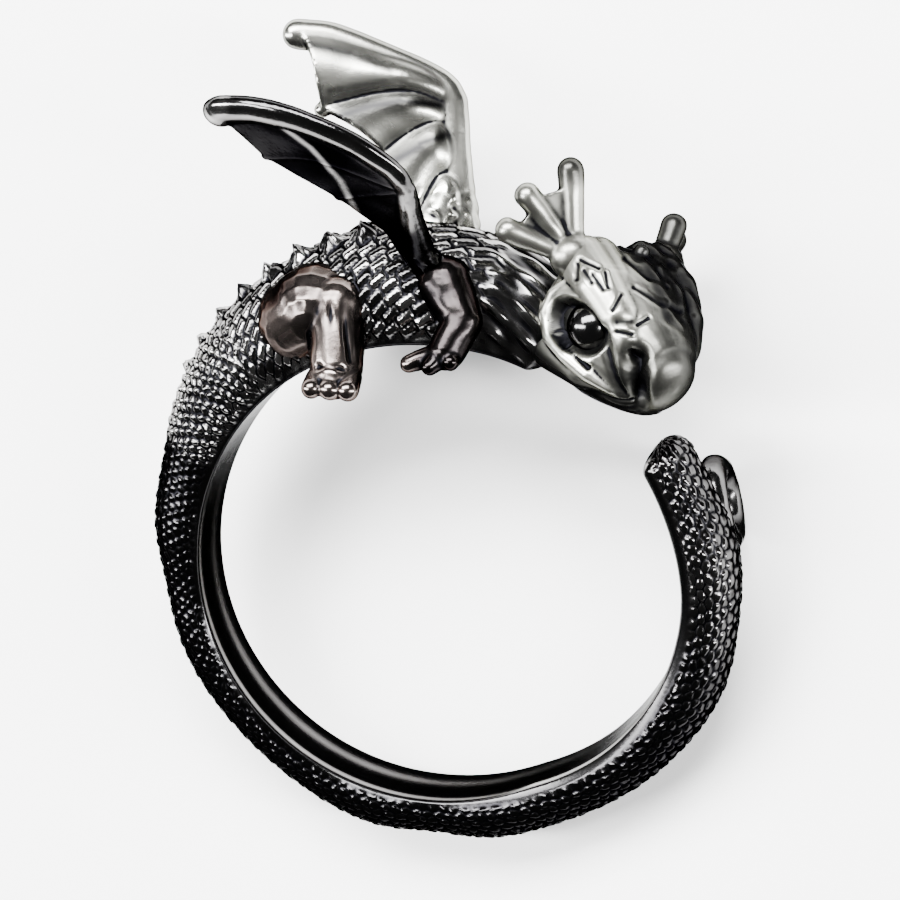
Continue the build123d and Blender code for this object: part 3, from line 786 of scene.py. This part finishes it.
# Cuts, ridges and painted shade in millimetres from the skull's centre: start, end, width and strength
HEAD_CUTS = both_sides([((3.15, 0.45, 1.35), (3.75, -1.30, 0.95), 0.38, 0.42),
                        ((1.9, 0.55, 2.15), (3.5, -1.55, 1.10), 0.20, 0.20),
                        ((-0.4, -1.7, 2.1), (3.3, -1.45, 0.9), 0.14, 0.22),
                        ((0.0, -0.55, 2.7), (1.9, -0.82, 2.1), 0.08, 0.14)])
HEAD_RIDGES = both_sides([((0.7, -0.42, 2.6), (1.7, -0.22, 2.4), 0.09, 0.12),
                          ((0.9, -0.68, 2.5), (1.9, -0.60, 2.15), 0.09, 0.12)])
HEAD_PAINTED_SHADE = both_sides([((1.9, 0.45, 2.15), (3.2, -1.0, 1.35), 0.36, 0.9),
                        ((3.15, 0.45, 1.35), (3.75, -1.30, 0.95), 0.50, 1.0),
                        ((-1.2, -1.6, 2.0), (2.0, -1.9, 1.5), 0.55, 0.8)])
# Painted highlights along the ridges under the eyes, over the brows and round the lids, weaker on the far
# side
HEAD_PAINTED_HIGHLIGHTS = [(a, b, 0.14, 0.9) for a, b, _, _ in HEAD_RIDGES]
for side, strength in ((1, 1.0), (-1, 0.4)):
    brow = [tuple(on_head(spot, side)) for spot in BROW]
    lid = [tuple(on_head(spot, side)) for spot in LID]
    HEAD_PAINTED_HIGHLIGHTS += [(a, b, 1.05, 0.58 * strength) for a, b in zip(brow, brow[1:])]
    HEAD_PAINTED_HIGHLIGHTS += [(a, b, 0.40, 0.75 * strength) for a, b in zip(lid, lid[1:])]
# Strokes engraved in the near brow, muzzle and crown, all driven in one way: start, end and width
stroke_way, stroke_depth = np.array((0.70, 0.43, 0.57)), 0.07
NEAR_STROKES = (
    ((-0.57, 2.06, 2.27), (0.04, 2.13, 1.89), 0.10), ((-0.56, 1.9, 2.34), (-0.3, 1.4, 2.35), 0.11),
    ((-0.22, 1.83, 2.25), (0.26, 1.65, 2.14), 0.11), ((0.1, 1.87, 2.11), (0.76, 1.7, 1.95), 0.10),
    ((0.3, 2.1, 1.73), (0.8, 1.8, 1.8), 0.09), ((1.28, 1.81, 1.5), (1.67, 1.39, 1.95), 0.07),
    ((1.99, 1.1, 1.8), (2.32, 1.39, 1.48), 0.17), ((2.14, 0.81, 1.79), (2.63, 1.05, 1.5), 0.08),
    ((2.46, 1.36, 1.3), (2.35, 1.58, 0.88), 0.09), ((1.3, 2.2, 1.1), (1.91, 2.02, 0.32), 0.12),
    ((1.91, 2.02, 0.32), (2.09, 1.85, -0.67), 0.12), ((-0.2, 2.5, 0.7), (0.9, 2.4, 0.3), 0.11),
    ((0.4, 2.6, -0.3), (1.2, 2.3, -0.4), 0.11))
NEAR_NOSTRIL, nostril_width, nostril_depth = ((3.10, 0.40, 1.40), (3.70, -1.05, 1.0)), 0.40, 0.28


def on_sheet(points):
    """Points laid flat on a sheet that the engraver's strokes go straight into."""
    points = np.array(points)
    return points - (points @ stroke_way)[..., None] * stroke_way


def socket_share(points, side):
    """1 in the middle of an eye's almond socket, 0 at its rim and beyond."""
    off = (points[:, :2] - SOCKET_MIDDLE) / SOCKET_SIZE
    inside = np.clip(1 - np.hypot(off[:, 0], off[:, 1]), 0, 1)
    return inside * ease(side * points[:, 2], 1.2, 1.8)


satin = gunmetal("satin_gunmetal", (0.78, 0.78, 0.70), 0.30)
mesh = fused("head", skull_form(), head_cell, head_rounds)
places = coordinates(mesh)
normals = shape_normals(mesh)
facing = normals @ stroke_way
laid = on_sheet(places)
strokes = grooves(laid, [(on_sheet(a), on_sheet(b), width, 1) for a, b, width in NEAR_STROKES])
strokes *= ease(facing, 0.1, 0.5)
nostril = grooves(laid, [(*on_sheet(NEAR_NOSTRIL), nostril_width, 1)]) * ease(facing, 0, 0.3)
socket = np.maximum(socket_share(places, 1), socket_share(places, -1))
bumpy_crown = ease(places[:, 1], 1.2, 1.9) * ease(-places[:, 2], -0.9, 0.0)
rise = grooves(places, HEAD_RIDGES) - grooves(places, HEAD_CUTS)
rise -= stroke_depth * strokes + nostril_depth * nostril + socket_depth * ease(socket, 0.0, 0.32)
rise += 0.09 * wave(places, 0.27, 5.0) * bumpy_crown + 0.012 * wave(places, 0.6, 3.0)
places = places + normals * rise[:, None]
# Painted highlights over the brows and lids; painted shade over the far half and the throat, and
# near black in the sockets, nostrils and cuts; the nose and the engraved strokes darker
far_skull = ease(-places[:, 2], -1.0, -0.2) * ease(-places[:, 0], -3.2, -2.4)
far_half = ease(-places[:, 2], -0.3, 0.5)
throat, nose = ease(-places[:, 1], 1.1, 1.7), ease(places[:, 0], 2.3, 3.1)
tone = 0.22 + 0.10 * wave(places, 1.1, 2.0) + grooves(places, HEAD_PAINTED_HIGHLIGHTS)
tone *= (1 - 0.93 * far_skull) * (1 - 0.9 * throat) * (1 - 0.6 * far_half) * (1 - 0.72 * nose)
tone *= (1 - 0.90 * ease(socket, 0.02, 0.12)) * (1 - grooves(places, HEAD_PAINTED_SHADE))
tone *= (1 - 0.9 * strokes) * (1 - nostril)
finish_piece("head", mesh, places @ head_axes + np.array(skull_centre), tone, satin)


# Ears: a fan of three blunt spikes with webs between them, cast behind each brow. The near ear is
# spread wide, and the far one is shorter over the crown and darkened with painted shade.
ear_root_radius, spike_root_radius, spike_tip_radius = 0.858, 0.396, 0.4945
ear_length, ear_web = 3.0, 0.60
ear_cell, ear_rounds = 0.06, 9
EAR_ROOT = (-0.19, 0.34, 0.36)
# The way each spike points, longer ones first
NEAR_EAR = ((-0.52, 0.84, 0.10), (-0.52, 0.45, 0.55), (-0.42, 0.03, 0.70))
FAR_EAR = ((-0.29, 0.40, 0.20), (-0.42, 0.15, 0.40), (-0.48, -0.13, 0.52))


def web(form, root, first, second, thickness):
    """A thin web between two spikes of one root, hollowed at its free edge."""
    sheet = bmesh.new()
    corners = [root, root + (first - root) * 0.80, root + (first + second - 2 * root) * 0.45,
               root + (second - root) * 0.92]
    sheet.faces.new([sheet.verts.new(corner) for corner in corners])
    bmesh.ops.recalc_face_normals(sheet, faces=sheet.faces)
    across = (first - root).cross(second - root).normalized() * thickness / 2
    bmesh.ops.translate(sheet, vec=across, verts=sheet.verts)
    bmesh.ops.solidify(sheet, geom=sheet.faces[:], thickness=thickness)
    add_sheet(form, sheet)


form = bmesh.new()
EAR_RIBS, EAR_VALLEYS = [], []
for side, tips in ((1, NEAR_EAR), (-1, FAR_EAR)):
    root = on_head(EAR_ROOT, side)
    ends = [root + Vector((x, y, side * z)) * ear_length for x, y, z in tips]
    ball(form, root, ear_root_radius)
    for end in ends:
        limb(form, [root, end], [spike_root_radius, spike_tip_radius])
        EAR_RIBS.append((tuple(root), tuple(root.lerp(end, 0.9)), 0.34, 0.62))
    for first, second in zip(ends, ends[1:]):
        web(form, root, first, second, ear_web)
        middle = (first + second) / 2
        EAR_VALLEYS.append((tuple(root.lerp(middle, 0.35)), tuple(middle), 0.30, 0.85))
mesh = fused("ears", form, ear_cell, ear_rounds)
places = coordinates(mesh)
valleys = grooves(places, EAR_VALLEYS)
places = places + shape_normals(mesh) * (0.02 * wave(places, 0.4, 3.0) - 0.10 * valleys)[:, None]
longest = on_head(EAR_ROOT) + Vector(NEAR_EAR[0]) * ear_length
from_tip = np.linalg.norm(places - np.array(longest), axis=1)
far_ear = ease(-places[:, 2], 0.0, 1.0)
# Lighter along the spikes and darker in the valleys and towards the longest tip; the far ear is darkened
# with painted shade
tone = (0.30 + grooves(places, EAR_RIBS) + 0.12 * wave(places, 0.7, 2.0)) * (1 - valleys)
tone *= (1 - 0.85 * ease(-from_tip, -1.0, -0.4)) * (1 - 0.9 * far_ear)
finish_piece("ears", mesh, places @ head_axes + np.array(skull_centre), tone, satin)


# Eyes: a dark polished ball sunk in each socket, cast in one with the skull. The plating is left
# on it, and the brows and lids round it carry painted highlights.
EYE = (0.085, 0.025, 0.315)
eye_radius, eye_tone = 0.92, 0.10
form = bmesh.new()
for side in (1, -1):
    centre = on_head(EYE, side) + Vector((0.14, 0.06, -0.08 * side))
    bmesh.ops.create_uvsphere(form, u_segments=48, v_segments=28, radius=eye_radius,
                              matrix=Matrix.Translation(centre))
mesh = mesh_of("eyes", form)
places = coordinates(mesh) @ head_axes + np.array(skull_centre)
finish_piece("eyes", mesh, places, np.full(len(places), eye_tone), black)


# Tail curl: the tail's tip, a round wire bent into a closed loop on the outer far side of the open
# end and cast in one with it. It is one of the places that the ring rests on.
curl_radius, curl_wire, curl_angle, curl_steps = 1.3, 0.55, 14, 36
curl_cell, curl_rounds = 0.06, 3
width, height, lift = (float(size[0]) for size in trunk_sizes(np.array([float(curl_angle)])))
reach = bore_radius + lift + 0.75 * height
turn = radians(curl_angle)
curl_middle = Vector((reach * cos(turn), reach * sin(turn), -0.55 * width))
near_side = Vector((0, 0, 1))
sideways = Vector((cos(turn), sin(turn), 0)).cross(near_side)
rim = []
for step in range(curl_steps + 1):
    angle = radians(step * 360 / curl_steps)
    rim.append(curl_middle + (sideways * cos(angle) + near_side * sin(angle)) * curl_radius)
form = bmesh.new()
limb(form, rim, [curl_wire] * len(rim))
mesh = fused("tail_curl", form, curl_cell, curl_rounds)
places = coordinates(mesh)
places = places + shape_normals(mesh) * (0.03 * wave(places, 0.35, 1.0))[:, None]
finish_piece("tail_curl", mesh, places, 0.12 + 0.12 * wave(places, 0.9, 1.0), black)


# Floor: one plain sheet of pale matt card under the ring, wider than the view. It is stage and
# isn't part of the object.
floor_size, floor_colour, floor_roughness = 3.0, (0.95, 0.95, 0.95), 0.9
form = bmesh.new()
bmesh.ops.create_grid(form, x_segments=1, y_segments=1, size=floor_size / 2)
floor = bpy.data.objects.new("floor", mesh_of("floor", form))
bpy.context.collection.objects.link(floor)
floor_material = bpy.data.materials.new("pale_floor")
floor_material.use_nodes = True
floor_shader = floor_material.node_tree.nodes["Principled BSDF"]
floor_shader.inputs["Base Color"].default_value = (*floor_colour, 1)
floor_shader.inputs["Roughness"].default_value = floor_roughness
floor.data.materials.append(floor_material)


# Lights: a large soft box over the dragon's back, a strip along its near left and a small one at
# the right, in a dim room that the metal mirrors dark.
light_distance = 0.40
room_grey = 0.10


def soft_box(name, direction, width, height, power):
    """A rectangular light that faces the ring's middle."""
    light = bpy.data.lights.new(name, "AREA")
    light.shape = "RECTANGLE"
    light.size, light.size_y = width, height
    light.energy = power
    lamp = bpy.data.objects.new(name, light)
    direction = (ring_turn @ Vector(direction)).normalized()
    lamp.location = Vector(hole["pos_m"]) + direction * light_distance
    lamp.rotation_euler = direction.to_track_quat("Z", "Y").to_euler()
    bpy.context.collection.objects.link(lamp)


soft_box("top_box", (-0.25, 0.85, 0.75), width=0.40, height=0.16, power=11.0)
soft_box("left_strip", (-0.9, 0.15, 0.75), width=0.07, height=0.36, power=5.0)
soft_box("right_strip", (0.95, 0.1, 0.6), width=0.05, height=0.30, power=4.0)
world = bpy.data.worlds.new("room")
bpy.context.scene.world = world
world.use_nodes = True
room = world.node_tree.nodes["Background"]
room.inputs["Color"].default_value = (room_grey, room_grey, room_grey, 1)
room.inputs["Strength"].default_value = 1.0
